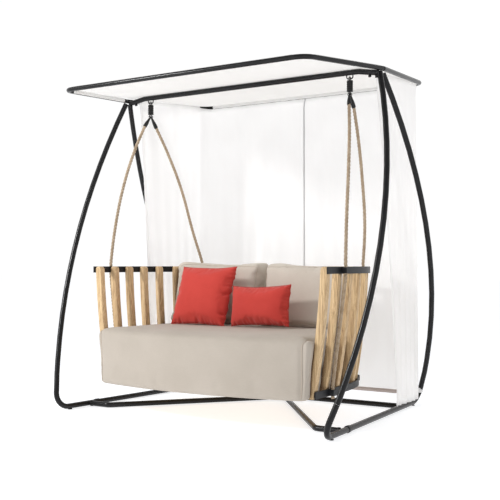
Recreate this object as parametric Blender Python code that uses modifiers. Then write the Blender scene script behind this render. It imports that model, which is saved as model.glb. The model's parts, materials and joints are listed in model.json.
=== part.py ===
"""Canopy swing bench: bowed A-frame sides, sun canopy, curtains and a hanging slatted bench.

Metres, +Z up. The origin is on the floor, in the middle of the whole object's footprint.
+X runs along the beam and the bench faces -Y. The shapes are laid out with the beam over
y = 0, and the swing_frame empty moves them so that the footprint's middle is the origin.
"""
import math

import bmesh
import bpy
from mathutils import Matrix, Vector

GAP = 0.0003
BEAM_Y = -0.0498

# Steel tubes
TUBE_R = 0.0175
CANOPY_TUBE_R = 0.0145
RAIL_Z = 0.0215
BEND_R = 0.075
BEAM_Z = 2.13
BEAM_HALF = 0.9745
BEAM_END_DROP = 0.018
BEAM_STRAIGHT = 0.84
BEAM_BENT = 0.95
TUBE_CLEARANCE = 0.002

# Side frames: apex above, rail corners below
APEX_X = 0.994
LEG_TOP_Y = 0.0212
LEG_TOP_Z = 2.105
LEG_JOINT_Z = 0.205
LEG_LAST_BEND = 0.06
LEG_STRAIGHT = 0.03
LEG_STEPS = 14
FRONT_CORNER = (0.978, -0.722)
REAR_CORNER = (0.858, 0.872)
FRONT_BOW = 0.170
REAR_BOW = 0.172
REAR_BOW_SKEW = 0.2
REAR_BOW_Y = 0.040

# Base stretchers
STRETCHER_Y = -0.436
STRETCHER_BEND_X = 0.78
CROSS_TUBE_Y = 0.569
FOOT_R = 0.014
FOOT_SHARES = (("front", 0.075), ("rear", 0.935))
FOOT_H = RAIL_Z - TUBE_R - GAP

# Canopy plane and outline
CANOPY_SLOPE = 0.0722
CANOPY_MID_X = 1.005
CANOPY_FRONT = (0.888, -0.747)
CANOPY_REAR = (0.910, 0.840)
CANOPY_BEND_R = 0.085
CLOTH_T = 0.003

# Curtains
CURTAIN_X = 0.900
CURTAIN_Y = 0.800
CURTAIN_EDGE_Y = 0.090
CURTAIN_HEM_EDGE_Y = {"left": 0.150, "right": 0.400}
CURTAIN_DROP = 0.019
CURTAIN_HEM = 0.060
CURTAIN_T = 0.010
CURTAIN_WAVE = 0.008
CURTAIN_PITCH = 0.125
CURTAIN_CORNER_R = 0.060

# Suspension
HANG_X = 0.783
PIVOT_Z = 2.092
HOOK_R = 0.004
HOOK_HALF = 0.021
HOOK_BEND_R = 0.012
EYE_R = 0.0115
EYE_WIRE = 0.0035
SWIVEL_R = 0.0195
SWIVEL_TOP = 2.081
SWIVEL_BOTTOM = 2.012
LOWER_EYE_Z = 2.002
ROPE_R = 0.011
TERMINAL_TOP_Z = 1.984
TERMINAL_SPREAD = 0.0105
TERMINAL_R = 0.0135
TERMINAL_TIP_R = 0.0065
FRONT_ROPE = ((0.801, -0.045, 1.925), (0.836, -0.112, 1.750), (0.868, -0.190, 1.500), (0.888, -0.256, 1.200))
REAR_ROPE = ((0.781, 0.058, 1.925), (0.758, 0.164, 1.750), (0.728, 0.284, 1.500), (0.698, 0.382, 1.200))
ROPE_SHARES = (("front", 0.115), ("rear", 0.594))
ROPE_STRAIGHT = 0.035
ROPE_TAIL_Z = 0.170

# Bench plan: a superellipse, open towards -Y
PLAN_POWER = 3.3
PLAN_CENTRE_Y = -0.40
ARM_FRONT_Y = -0.476
TOP_HALF = 0.880
TOP_DEPTH = 0.950
BOTTOM_HALF = 0.800
BOTTOM_DEPTH = 0.930
TOP_BAND_Z = 0.920
BOTTOM_BAND_Z = 0.210
BAND_H = 0.041
BAND_T = 0.008
SLAT_COUNT = 23
SLAT_FIRST = 0.030
SLAT_DEEP = 0.045
SLAT_WIDE = 0.042
SLAT_BOW = 0.012
SLAT_GAP_TOP = 0.0032
SLAT_GAP_BOTTOM = 0.0085
SLAT_TOP = 0.9405
SLAT_BOTTOM = 0.186
JOINED_SLATS = ((10, 11), (13, 14))
BRIDGE_INSET = 0.048
BRIDGE_Z = 0.62
BRIDGE_SECTION = (0.022, 0.050)
GUIDE_SIZE = (0.036, 0.046, 0.035)
GUIDE_OFFSET = 0.001
GUIDE_HOLE_R = 0.0128
GUIDE_HOLE_REACH = 0.05
ROPE_CLEARANCE = 0.003

# Upholstery
SEAT_TOP = 0.540
SEAT_BOTTOM = 0.178
SEAT_FRONT_Y = -0.535
SEAT_BOW = 0.100
SEAT_INSET = 0.0665
SEAT_FLARE = 0.034
SEAT_FLARE_Y = -0.474
PLATFORM_T = 0.016
PLATFORM_INSET = 0.13
PLATFORM_RECESS = 0.120
PLATFORM_BOW = 0.060
SEAT_LEVELS = ((0.0, 0.010), (0.020, 0.0), (0.332, 0.0), (0.362, 0.022))
BACK_TOP = 0.955
BACK_LEAN = 0.115
BACK_PLAN = ((0.006, 0.130, 1.0), (0.640, 0.110, 1.0), (0.688, 0.150, 0.8), (0.640, 0.225, 0.9),
             (0.480, 0.300, 1.0), (0.006, 0.335, 1.0))
BACK_ROUNDING = 0.022
SCATTER_ROUNDING = 0.42
RED_CUSHIONS = (
    ("red_square_cushion", (-0.346, 0.010, 0.746), (0.445, 0.130, 0.400), -16, 0),
    ("red_long_cushion", (0.172, -0.025, 0.676), (0.450, 0.120, 0.262), -8, -3),
)

for old in list(bpy.data.objects):
    bpy.data.objects.remove(old, do_unlink=True)

scene = bpy.context.scene
parts = bpy.data.collections.new("canopy_swing_bench")
cutters = bpy.data.collections.new("cutters")
scene.collection.children.link(parts)
scene.collection.children.link(cutters)


def empty(name, location, parent=None):
    """An empty that carries a group of pieces."""
    obj = bpy.data.objects.new(name, None)
    obj.location = location
    obj.parent = parent
    parts.objects.link(obj)
    return obj


FRAME = empty("swing_frame", (0, BEAM_Y, 0))
PIVOT = empty("swing_pivot", (0, 0, PIVOT_Z), FRAME)


def material(name, colour, roughness, metallic=0.0):
    """A plain Principled material."""
    mat = bpy.data.materials.new(name)
    mat.use_nodes = True
    shader = mat.node_tree.nodes["Principled BSDF"]
    shader.inputs["Base Color"].default_value = (*colour, 1.0)
    shader.inputs["Roughness"].default_value = roughness
    shader.inputs["Metallic"].default_value = metallic
    return mat


STEEL = material("black_steel", (0.018, 0.018, 0.020), 0.38, 0.3)
FITTING = material("black_fitting", (0.015, 0.015, 0.016), 0.5, 0.1)
RUBBER = material("foot_rubber", (0.02, 0.02, 0.02), 0.8)
TEAK = material("teak", (0.58, 0.38, 0.20), 0.55)
ROPE = material("rope", (0.50, 0.41, 0.30), 0.9)
CANOPY_CLOTH = material("canopy_cloth", (0.88, 0.87, 0.84), 0.85)
CURTAIN_CLOTH = material("curtain_cloth", (0.90, 0.89, 0.87), 0.85)
LINEN = material("beige_fabric", (0.62, 0.55, 0.47), 0.9)
RED = material("red_fabric", (0.60, 0.07, 0.05), 0.9)


def add(name, data, mat, collection=None):
    """A new object of the swing, or of another collection."""
    obj = bpy.data.objects.new(name, data)
    data.materials.append(mat)
    (collection or parts).objects.link(obj)
    return obj


def smooth(obj, angle=40.0):
    """Smooth shading, with sharp edges kept."""
    obj.data.shade_smooth()
    obj.data.set_sharp_from_angle(angle=math.radians(angle))
    return obj


def fillet(points, radius, steps=5, closed=False):
    """The path through the points, with each corner rounded by an arc."""
    pts = [Vector(p) for p in points]
    count = len(pts)
    out = []
    for i, corner in enumerate(pts):
        if not closed and i in (0, count - 1):
            out.append(corner)
            continue
        before = pts[i - 1] - corner
        after = pts[(i + 1) % count] - corner
        half = before.angle(after) / 2
        bend = radius[i] if isinstance(radius, (list, tuple)) else radius
        if bend < 1e-6 or half > math.radians(89):
            out.append(corner)
            continue
        reach = bend / math.tan(half)
        start = corner + before.normalized() * reach
        end = corner + after.normalized() * reach
        centre = corner + (before.normalized() + after.normalized()).normalized() * (bend / math.sin(half))
        arm = start - centre
        normal = arm.cross(end - centre)
        sweep = arm.angle(end - centre)
        for k in range(steps + 1):
            out.append(centre + Matrix.Rotation(sweep * k / steps, 3, normal) @ arm)
    return out


def tube(name, points, radius, mat, sides=4):
    """A round tube along a polyline, with closed ends."""
    curve = bpy.data.curves.new(name, "CURVE")
    curve.dimensions = "3D"
    curve.bevel_depth = radius
    curve.bevel_resolution = sides
    curve.use_fill_caps = True
    spline = curve.splines.new("POLY")
    spline.points.add(len(points) - 1)
    for slot, point in zip(spline.points, points):
        slot.co = (*point, 1.0)
    return add(name, curve, mat)


def plate(name, outline, half, mat, location=(0, 0, 0), rotation=(0, 0, 0), collection=None):
    """A flat outline given thickness to both sides of its plane."""
    curve = bpy.data.curves.new(name, "CURVE")
    curve.dimensions = "2D"
    curve.fill_mode = "BOTH"
    curve.extrude = half
    spline = curve.splines.new("POLY")
    spline.points.add(len(outline) - 1)
    for slot, point in zip(spline.points, outline):
        slot.co = (point[0], point[1], 0.0, 1.0)
    spline.use_cyclic_u = True
    obj = add(name, curve, mat, collection)
    obj.location = location
    obj.rotation_euler = rotation
    return obj


def to_mesh(obj):
    """The same object as a welded mesh."""
    bpy.context.view_layer.update()
    source = obj.evaluated_get(bpy.context.evaluated_depsgraph_get())
    mesh = bpy.data.meshes.new_from_object(source)
    bm = bmesh.new()
    bm.from_mesh(mesh)
    bmesh.ops.remove_doubles(bm, verts=bm.verts, dist=1e-6)
    bmesh.ops.recalc_face_normals(bm, faces=bm.faces)
    bm.to_mesh(mesh)
    bm.free()
    name = obj.name
    matrix = obj.matrix_world.copy()
    mat = obj.data.materials[0]
    collection = obj.users_collection[0]
    bpy.data.objects.remove(obj, do_unlink=True)
    mesh.materials.clear()
    new = add(name, mesh, mat, collection)
    new.matrix_world = matrix
    return new


def block(name, size, mat, bevel=0.0, segments=2, collection=None):
    """A box with its own size in its mesh, optionally rounded."""
    mesh = bpy.data.meshes.new(name)
    bm = bmesh.new()
    bmesh.ops.create_cube(bm, size=1.0, matrix=Matrix.Diagonal((*size, 1.0)))
    bm.to_mesh(mesh)
    bm.free()
    obj = add(name, mesh, mat, collection)
    if bevel:
        edge = obj.modifiers.new("rounding", "BEVEL")
        edge.width = bevel
        edge.segments = segments
    return obj


def rod(name, radius, low, high, mat, radius_high=None, sides=16, collection=None):
    """A cylinder or cone between two points."""
    low = Vector(low)
    high = Vector(high)
    mesh = bpy.data.meshes.new(name)
    bm = bmesh.new()
    top_r = radius if radius_high is None else radius_high
    bmesh.ops.create_cone(bm, cap_ends=True, segments=sides, radius1=radius, radius2=top_r,
                          depth=(high - low).length)
    bm.to_mesh(mesh)
    bm.free()
    obj = add(name, mesh, mat, collection)
    obj.location = (low + high) / 2
    obj.rotation_euler = (high - low).to_track_quat("Z", "Y").to_euler()
    return smooth(obj)


def combine(target, others, operation="UNION"):
    """Boolean the others into, or out of, the target."""
    for other in others:
        for collection in list(other.users_collection):
            collection.objects.unlink(other)
        cutters.objects.link(other)
        other.hide_render = True
        other.display_type = "WIRE"
        step = target.modifiers.new(other.name, "BOOLEAN")
        step.operation = operation
        step.object = other
        step.solver = "EXACT"


def leg_point(front, side, t):
    """A point on a leg's centre line, with t = 0 at the apex and 1 at the rail's corner."""
    corner = FRONT_CORNER if front else REAR_CORNER
    bulge = 4 * t * (1 - t)
    if front:
        x = APEX_X + (corner[0] - APEX_X) * t + FRONT_BOW * bulge
        y = -LEG_TOP_Y + (corner[1] + LEG_TOP_Y) * t
    else:
        x = APEX_X + (corner[0] - APEX_X) * t + REAR_BOW * bulge * (1 + REAR_BOW_SKEW * (t - 0.5))
        y = LEG_TOP_Y + (corner[1] - LEG_TOP_Y) * t + REAR_BOW_Y * bulge
    return Vector((side * x, y, LEG_TOP_Z + (RAIL_Z - LEG_TOP_Z) * t))


def cut_at_height(path, z):
    """The point where a falling path passes a height."""
    for a, b in zip(path, path[1:]):
        if a.z >= z > b.z:
            return a.lerp(b, (a.z - z) / (a.z - b.z))
    return path[-1]


def side_frame(side, word):
    """Two bowed legs and the floor rail that joins their feet."""
    rail = []
    for front in (True, False):
        path = [leg_point(front, side, i / LEG_STEPS) for i in range(LEG_STEPS + 1)]
        joint = cut_at_height(path, LEG_JOINT_Z)
        down = (path[-1] - joint).normalized()
        leg = [p for p in path if p.z > LEG_JOINT_Z + LEG_LAST_BEND]
        leg += [joint - down * LEG_STRAIGHT, joint - down * GAP]
        name = ("front" if front else "rear") + "_leg_" + word
        tube(name, leg, TUBE_R, STEEL)
        rail.append((joint + down * GAP, path[-1]))
    (front_top, front_corner), (rear_top, rear_corner) = rail
    corners = [front_top, front_corner, rear_corner, rear_top]
    tube("floor_rail_" + word, fillet(corners, BEND_R, 7), TUBE_R, STEEL)
    along = rear_corner - front_corner
    for place, share in FOOT_SHARES:
        spot = front_corner + along * share
        rod(f"foot_{place}_{word}", FOOT_R, (spot.x, spot.y, 0.0), (spot.x, spot.y, FOOT_H), RUBBER)


def rail_x(y):
    """How far out the floor rail's centre line is at y."""
    share = (y - FRONT_CORNER[1]) / (REAR_CORNER[1] - FRONT_CORNER[1])
    return FRONT_CORNER[0] + (REAR_CORNER[0] - FRONT_CORNER[0]) * share


def base_stretchers():
    """The V-shaped front stretcher and the straight tube across the back."""
    end = rail_x(STRETCHER_Y) - TUBE_R - TUBE_CLEARANCE
    apex_y = CROSS_TUBE_Y - 2 * TUBE_R - 2 * TUBE_CLEARANCE
    path = [(-end, STRETCHER_Y, RAIL_Z), (-STRETCHER_BEND_X, STRETCHER_Y, RAIL_Z), (0, apex_y, RAIL_Z),
            (STRETCHER_BEND_X, STRETCHER_Y, RAIL_Z), (end, STRETCHER_Y, RAIL_Z)]
    tube("front_v_stretcher", fillet(path, [0, 0.05, 0.04, 0.05, 0]), TUBE_R, STEEL)
    end = rail_x(CROSS_TUBE_Y) - TUBE_R - TUBE_CLEARANCE
    tube("rear_cross_tube", [(-end, CROSS_TUBE_Y, RAIL_Z), (end, CROSS_TUBE_Y, RAIL_Z)], TUBE_R, STEEL)


def canopy_z(y):
    """The height of the canopy's plane at y."""
    return BEAM_Z + CANOPY_SLOPE * y


def canopy_frame():
    """The top beam and the two bent tubes that carry the roof cloth."""
    low = BEAM_Z - BEAM_END_DROP
    beam = [(-BEAM_HALF, 0, low), (-BEAM_BENT, 0, low), (-BEAM_STRAIGHT, 0, BEAM_Z),
            (BEAM_STRAIGHT, 0, BEAM_Z), (BEAM_BENT, 0, low), (BEAM_HALF, 0, low)]
    tube("top_beam", fillet(beam, [0, 0.08, 0.12, 0.12, 0.08, 0], 3), TUBE_R, STEEL)
    for name, (x, y) in (("canopy_front_hoop", CANOPY_FRONT), ("canopy_rear_hoop", CANOPY_REAR)):
        toward = math.copysign(2 * TUBE_CLEARANCE, y)
        mid = (CANOPY_MID_X, toward, canopy_z(toward))
        corner = (x, y, canopy_z(y))
        path = [(-mid[0], *mid[1:]), (-corner[0], *corner[1:]), corner, mid]
        tube(name, fillet(path, CANOPY_BEND_R, 6), CANOPY_TUBE_R, STEEL)


def canopy_cloth():
    """Two flat roof panels, one each side of the beam, inside the hoops."""
    tilt = math.atan(CANOPY_SLOPE)
    stretch = 1 / math.cos(tilt)
    inset = CANOPY_TUBE_R + 0.001
    for name, (x, y) in (("roof_cloth_front", CANOPY_FRONT), ("roof_cloth_rear", CANOPY_REAR)):
        sign = math.copysign(1.0, y)
        near = sign * (TUBE_R + 0.001) * stretch
        far = (y - sign * inset) * stretch
        mid_x = CANOPY_MID_X - inset - 0.003
        corner = x - inset
        outline = [(-mid_x, near, 0), (-corner, far, 0), (corner, far, 0), (mid_x, near, 0)]
        bends = [0, CANOPY_BEND_R - inset, CANOPY_BEND_R - inset, 0]
        outline = fillet(outline, bends, 4, closed=True)
        panel = plate(name, outline, CLOTH_T / 2, CANOPY_CLOTH, (0, 0, BEAM_Z), (tilt, 0, 0))
        to_mesh(panel)


def curtain_outline(side):
    """The plan of one curtain: along the back from the middle, round the corner, up to its edge."""
    path = fillet([(0.006, CURTAIN_Y, 0), (CURTAIN_X, CURTAIN_Y, 0), (CURTAIN_X, CURTAIN_EDGE_Y, 0)],
                  [0, CURTAIN_CORNER_R, 0], 6)
    lengths = [0.0]
    for a, b in zip(path, path[1:]):
        lengths.append(lengths[-1] + (b - a).length)
    total = lengths[-1]
    count = 4 * round(total / CURTAIN_PITCH)
    inner = []
    outer = []
    for i in range(count + 1):
        s = total * i / count
        k = min(max(j for j, length in enumerate(lengths) if length <= s + 1e-9), len(path) - 2)
        here = path[k].lerp(path[k + 1], (s - lengths[k]) / (lengths[k + 1] - lengths[k]))
        ahead = (path[k + 1] - path[k]).normalized()
        out = Vector((-ahead.y, ahead.x, 0))
        wave = CURTAIN_WAVE * math.sin(math.pi * i / 2)
        inner.append(here + out * (wave - CURTAIN_T / 2))
        outer.append(here + out * (wave + CURTAIN_T / 2))
    outline = inner + outer[::-1]
    return [(side * p.x, p.y) for p in outline]


def curtains():
    """Two floor-length curtains that meet behind the middle of the bench."""
    for side, word in ((-1, "left"), (1, "right")):
        sheet = to_mesh(plate("curtain_" + word, curtain_outline(side), 1.0, CURTAIN_CLOTH))
        gather = (CURTAIN_Y - CURTAIN_HEM_EDGE_Y[word]) / (CURTAIN_Y - CURTAIN_EDGE_Y)
        for vert in sheet.data.vertices:
            if vert.co.z > 0:
                vert.co.z = canopy_z(vert.co.y) - CURTAIN_DROP
            else:
                vert.co.z = CURTAIN_HEM
                vert.co.y = CURTAIN_Y - (CURTAIN_Y - vert.co.y) * gather


def plan_point(angle, half, depth):
    """A point on the bench's plan: angle 0 at the arm, 90 degrees at the middle of the back."""
    power = 2 / PLAN_POWER
    return Vector((half * math.cos(angle) ** power, PLAN_CENTRE_Y + depth * math.sin(angle) ** power, 0))


def plan_path(half, depth, front_y=ARM_FRONT_Y, samples=240):
    """The right half of the plan, from the arm's front end to the middle of the back."""
    points = [Vector((half, front_y, 0))]
    for i in range(samples + 1):
        points.append(plan_point(min(math.pi / 2, 1e-9 + math.pi / 2 * i / samples), half, depth))
    return points


def along_plan(half, depth, share, front_y=ARM_FRONT_Y):
    """The point and outward normal at a share of the way from arm end to the middle of the back."""
    path = plan_path(half, depth, front_y)
    total = sum((b - a).length for a, b in zip(path, path[1:]))
    left = share * total
    for a, b in zip(path, path[1:]):
        step = (b - a).length
        if left <= step or b is path[-1]:
            ahead = (b - a).normalized()
            return a.lerp(b, min(1.0, left / step)), Vector((ahead.y, -ahead.x, 0))
        left -= step
    return path[-1], Vector((0, 1, 0))


def plan_length(half, depth):
    """The length of half of the plan."""
    path = plan_path(half, depth)
    return sum((b - a).length for a, b in zip(path, path[1:]))


def band_outline(half, depth, thickness, count=18):
    """The closed plan outline of a flat bar bent round the bench."""
    right = []
    for i in range(count + 1):
        spot, normal = along_plan(half, depth, i / count)
        if i == count:
            spot.x = 0.0
            normal = Vector((0, 1, 0))
        right.append((spot, normal))
    centre = right + [(Vector((-p.x, p.y, 0)), Vector((-n.x, n.y, 0))) for p, n in right[-2::-1]]
    outer = [p + n * thickness / 2 for p, n in centre]
    inner = [p - n * thickness / 2 for p, n in centre]
    return [(p.x, p.y) for p in outer + inner[::-1]]


def rope_seat(share, half, depth):
    """Where a rope passes a band: the place on its outer side, and the band's normal there."""
    spot, normal = along_plan(half, depth, share)
    return spot + normal * (BAND_T / 2 + ROPE_R + ROPE_CLEARANCE), normal


def bands():
    """The two flat steel bars round the bench, with an eye block for each rope."""
    for name, half, depth, z in (("top_band", TOP_HALF, TOP_DEPTH, TOP_BAND_Z),
                                 ("bottom_band", BOTTOM_HALF, BOTTOM_DEPTH, BOTTOM_BAND_Z)):
        bar = plate(name, band_outline(half, depth, BAND_T), BAND_H / 2, STEEL, (0, 0, z))
        bar = to_mesh(bar)
        blocks = []
        holes = []
        for end, share in ROPE_SHARES:
            seat, normal = rope_seat(share, half, depth)
            for side, word in ((-1, "left"), (1, "right")):
                spot = Vector((side * seat.x, seat.y, z))
                out = Vector((side * normal.x, normal.y, 0))
                heading = math.atan2(out.y, out.x)
                shell = block(f"{name}_eye_{end}_{word}", GUIDE_SIZE, STEEL)
                shell.location = spot + out * GUIDE_OFFSET
                shell.rotation_euler = (0, 0, heading)
                blocks.append(shell)
                low = (spot.x, spot.y, z - GUIDE_HOLE_REACH)
                high = (spot.x, spot.y, z + GUIDE_HOLE_REACH)
                holes.append(rod(f"{name}_hole_{end}_{word}", GUIDE_HOLE_R, low, high, STEEL, sides=12))
        combine(bar, blocks)
        combine(bar, holes, "DIFFERENCE")


def slat_mesh(name, share, side):
    """One bowed upright slat on the inner face of the bands."""
    rows = 5
    bm = bmesh.new()
    bmesh.ops.create_cube(bm, size=1.0)
    rails = [e for e in bm.edges if abs(e.verts[0].co.z - e.verts[1].co.z) > 0.5]
    bmesh.ops.subdivide_edges(bm, edges=rails, cuts=rows, use_grid_fill=True)
    top, top_normal = along_plan(TOP_HALF, TOP_DEPTH, share)
    low, low_normal = along_plan(BOTTOM_HALF, BOTTOM_DEPTH, share)
    for vert in bm.verts:
        z = SLAT_BOTTOM + (SLAT_TOP - SLAT_BOTTOM) * (vert.co.z + 0.5)
        rise = (z - BOTTOM_BAND_Z) / (TOP_BAND_Z - BOTTOM_BAND_Z)
        normal = low_normal.lerp(top_normal, rise).normalized()
        tangent = Vector((-normal.y, normal.x, 0))
        centre = low.lerp(top, rise)
        bow = SLAT_BOW * 4 * rise * (1 - rise)
        inward = BAND_T / 2 + SLAT_GAP_BOTTOM + (SLAT_GAP_TOP - SLAT_GAP_BOTTOM) * rise
        radial = bow - inward - SLAT_DEEP * (0.5 - vert.co.x)
        spot = centre + normal * radial + tangent * (SLAT_WIDE * vert.co.y)
        vert.co = Vector((side * spot.x, spot.y, z))
    bm.normal_update()
    bmesh.ops.recalc_face_normals(bm, faces=bm.faces)
    mesh = bpy.data.meshes.new(name)
    bm.to_mesh(mesh)
    bm.free()
    return mesh


def slats():
    """Evenly spaced slats from one arm, round the back, to the other arm."""
    length = plan_length(TOP_HALF, TOP_DEPTH)
    first = SLAT_FIRST / length
    middle = (SLAT_COUNT + 1) // 2
    spots = {}
    for number in range(1, SLAT_COUNT + 1):
        away = abs(number - middle) / (middle - 1)
        share = 1.0 - (1.0 - first) * away
        spots[number] = (min(share, 0.9999), -1 if number < middle else 1)
    joined = {pair[0]: pair[1] for pair in JOINED_SLATS}
    for number, (share, side) in spots.items():
        if number in joined.values():
            continue
        name = f"slat_{number:02d}"
        if number in joined:
            name = f"slats_{number:02d}_{joined[number]:02d}"
        slat = add(name, slat_mesh(name, share, side), TEAK)
        if number in joined:
            partner = joined[number]
            share2, side2 = spots[partner]
            other = add(f"slat_{partner:02d}", slat_mesh(f"slat_{partner:02d}", share2, side2), TEAK)
            a, _ = along_plan(TOP_HALF, TOP_DEPTH, share)
            b, _ = along_plan(TOP_HALF, TOP_DEPTH, share2)
            bridge = block(f"bridge_{number:02d}", (abs(side * a.x - side2 * b.x), *BRIDGE_SECTION), TEAK)
            bridge.location = ((side * a.x + side2 * b.x) / 2, (a.y + b.y) / 2 - BRIDGE_INSET, BRIDGE_Z)
            bridge.rotation_euler = (0, 0, math.atan2(b.y - a.y, side2 * b.x - side * a.x))
            combine(slat, [other, bridge])


def seat_outline(inset, front_y, bow, half, depth, flare=0.0, count=14):
    """The plan of the seat: inside the slats, with a front edge that bows outwards."""
    right = []
    for i in range(count):
        spot, normal = along_plan(half, depth, i / count, front_y)
        right.append(spot - normal * inset)
    if flare:
        side_x = right[0].x
        right[0] = Vector((side_x, SEAT_FLARE_Y + 0.002, 0))
        right.insert(0, Vector((side_x + flare, SEAT_FLARE_Y, 0)))
        right.insert(0, Vector((side_x + flare, front_y, 0)))
    back = Vector((0, PLAN_CENTRE_Y + depth - inset, 0))
    ring = right + [back] + [Vector((-p.x, p.y, 0)) for p in right[::-1]]
    edge = right[0].x
    steps = 8
    for k in range(1, steps):
        x = -edge + 2 * edge * k / steps
        ring.append(Vector((x, front_y - bow * (1 - (x / edge) ** 2), 0)))
    return ring


def loft(name, rings, mat):
    """A closed solid through stacked outlines of equal count."""
    bm = bmesh.new()
    levels = [[bm.verts.new(p) for p in ring] for ring in rings]
    count = len(levels[0])
    for lower, upper in zip(levels, levels[1:]):
        for i in range(count):
            j = (i + 1) % count
            bm.faces.new((lower[i], lower[j], upper[j], upper[i]))
    bm.faces.new(levels[0][::-1])
    bm.faces.new(levels[-1])
    bm.normal_update()
    bmesh.ops.recalc_face_normals(bm, faces=bm.faces)
    mesh = bpy.data.meshes.new(name)
    bm.to_mesh(mesh)
    bm.free()
    return smooth(add(name, mesh, mat))


def plan_at(z):
    """The bench plan's half width and depth at a height."""
    rise = (z - BOTTOM_BAND_Z) / (TOP_BAND_Z - BOTTOM_BAND_Z)
    return (BOTTOM_HALF + (TOP_HALF - BOTTOM_HALF) * rise, BOTTOM_DEPTH + (TOP_DEPTH - BOTTOM_DEPTH) * rise)


def seat():
    """The deep upholstered seat block and the platform under it."""
    rings = []
    for rise, pull in SEAT_LEVELS:
        z = SEAT_BOTTOM + rise
        half, depth = plan_at(z)
        ring = seat_outline(SEAT_INSET + pull, SEAT_FRONT_Y + pull, SEAT_BOW, half, depth, SEAT_FLARE)
        rings.append([Vector((p.x, p.y, z)) for p in ring])
    loft("seat_cushion", rings, LINEN)
    rings = []
    front_y = SEAT_FRONT_Y + PLATFORM_RECESS
    for z in (SEAT_BOTTOM - GAP - PLATFORM_T, SEAT_BOTTOM - GAP):
        ring = seat_outline(PLATFORM_INSET, front_y, PLATFORM_BOW, BOTTOM_HALF, BOTTOM_DEPTH)
        rings.append([Vector((p.x, p.y, z)) for p in ring])
    loft("seat_platform", rings, TEAK)


def back_cushions():
    """Two back cushions that lean on the slats."""
    base = SEAT_TOP + GAP * 3
    for side, word in ((-1, "left"), (1, "right")):
        rings = []
        for z, lean in ((base, 0.0), (BACK_TOP, BACK_LEAN)):
            rings.append([Vector((side * x, y + lean * part, z)) for x, y, part in BACK_PLAN])
        body = loft("back_cushion_" + word, rings, LINEN)
        edge = body.modifiers.new("rounding", "BEVEL")
        edge.width = BACK_ROUNDING
        edge.segments = 2


def scatter_cushion(name, centre, size, tilt, turn):
    """A small loose cushion, thinner towards its edges."""
    pad = block(name, size, RED, size[1] * SCATTER_ROUNDING, 3)
    pad.location = centre
    pad.rotation_euler = (math.radians(tilt), 0, math.radians(turn))
    smooth(pad)


def suspension():
    """Hooks under the beam, swivels, rope ends and the four ropes."""
    for side, word in ((-1, "left"), (1, "right")):
        x = side * HANG_X
        top = BEAM_Z - TUBE_R - 2 * GAP
        corners = [(x - HOOK_HALF, 0, top), (x - HOOK_HALF, 0, PIVOT_Z), (x + HOOK_HALF, 0, PIVOT_Z),
                   (x + HOOK_HALF, 0, top)]
        tube("beam_hook_" + word, fillet(corners, HOOK_BEND_R, 4), HOOK_R, FITTING, 2)
        body = rod("swivel_" + word, SWIVEL_R, (x, 0, SWIVEL_BOTTOM), (x, 0, SWIVEL_TOP), FITTING)
        eyes = []
        for place, z in (("upper", PIVOT_Z), ("lower", LOWER_EYE_Z)):
            bpy.ops.mesh.primitive_torus_add(major_segments=14, minor_segments=6, major_radius=EYE_R,
                                             minor_radius=EYE_WIRE, location=(x, 0, z),
                                             rotation=(0, math.pi / 2, 0))
            eye = bpy.context.object
            eye.name = f"eye_{place}_{word}"
            eyes.append(eye)
        combine(body, eyes)
        for (end, share), knots in zip(ROPE_SHARES, (FRONT_ROPE, REAR_ROPE)):
            sign = -1 if end == "front" else 1
            start = Vector((side * knots[0][0], knots[0][1], knots[0][2]))
            high = Vector((x, sign * TERMINAL_SPREAD, TERMINAL_TOP_Z))
            fall = (start - high).normalized()
            low = start - fall * GAP * 2
            rod(f"rope_end_{end}_{word}", TERMINAL_R, low, high, FITTING, TERMINAL_TIP_R, 12)
            rope(f"rope_{end}_{word}", side, knots, share, fall)


def rope(name, side, knots, share, fall):
    """A rope from its fitting, through the top band's eye, down to the bottom band's."""
    upper, _ = rope_seat(share, TOP_HALF, TOP_DEPTH)
    lower, _ = rope_seat(share, BOTTOM_HALF, BOTTOM_DEPTH)
    points = [Vector(k) for k in knots]
    points += [Vector((upper.x, upper.y, TOP_BAND_Z + ROPE_STRAIGHT)),
               Vector((upper.x, upper.y, TOP_BAND_Z - ROPE_STRAIGHT)),
               Vector((lower.x, lower.y, BOTTOM_BAND_Z + ROPE_STRAIGHT)),
               Vector((lower.x, lower.y, ROPE_TAIL_Z))]
    curve = bpy.data.curves.new(name, "CURVE")
    curve.dimensions = "3D"
    curve.bevel_depth = ROPE_R
    curve.bevel_resolution = 2
    curve.resolution_u = 3
    curve.use_fill_caps = True
    spline = curve.splines.new("BEZIER")
    spline.bezier_points.add(len(points) - 1)
    for slot, point in zip(spline.bezier_points, points):
        slot.co = (side * point.x, point.y, point.z)
        slot.handle_left_type = "AUTO"
        slot.handle_right_type = "AUTO"
    for slot in spline.bezier_points[len(knots):]:
        slot.handle_left_type = "FREE"
        slot.handle_right_type = "FREE"
        slot.handle_left = slot.co + Vector((0, 0, 0.02))
        slot.handle_right = slot.co - Vector((0, 0, 0.02))
    start = spline.bezier_points[0]
    start.handle_left_type = "FREE"
    start.handle_right_type = "FREE"
    start.handle_left = start.co - fall * 0.05
    start.handle_right = start.co + fall * 0.05
    add(name, curve, ROPE)


def hang_on_empties():
    """Put the hanging bench on the pivot's empty and all the rest on the frame's."""
    swinging = ("swivel", "eye", "rope", "top_band", "bottom_band", "slat", "bridge", "seat", "back", "red")
    for obj in list(parts.objects) + list(cutters.objects):
        if obj.type == "EMPTY":
            continue
        if obj.name.startswith(swinging):
            obj.parent = PIVOT
            obj.matrix_parent_inverse = Matrix.Translation((0, 0, -PIVOT_Z))
        else:
            obj.parent = FRAME


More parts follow.
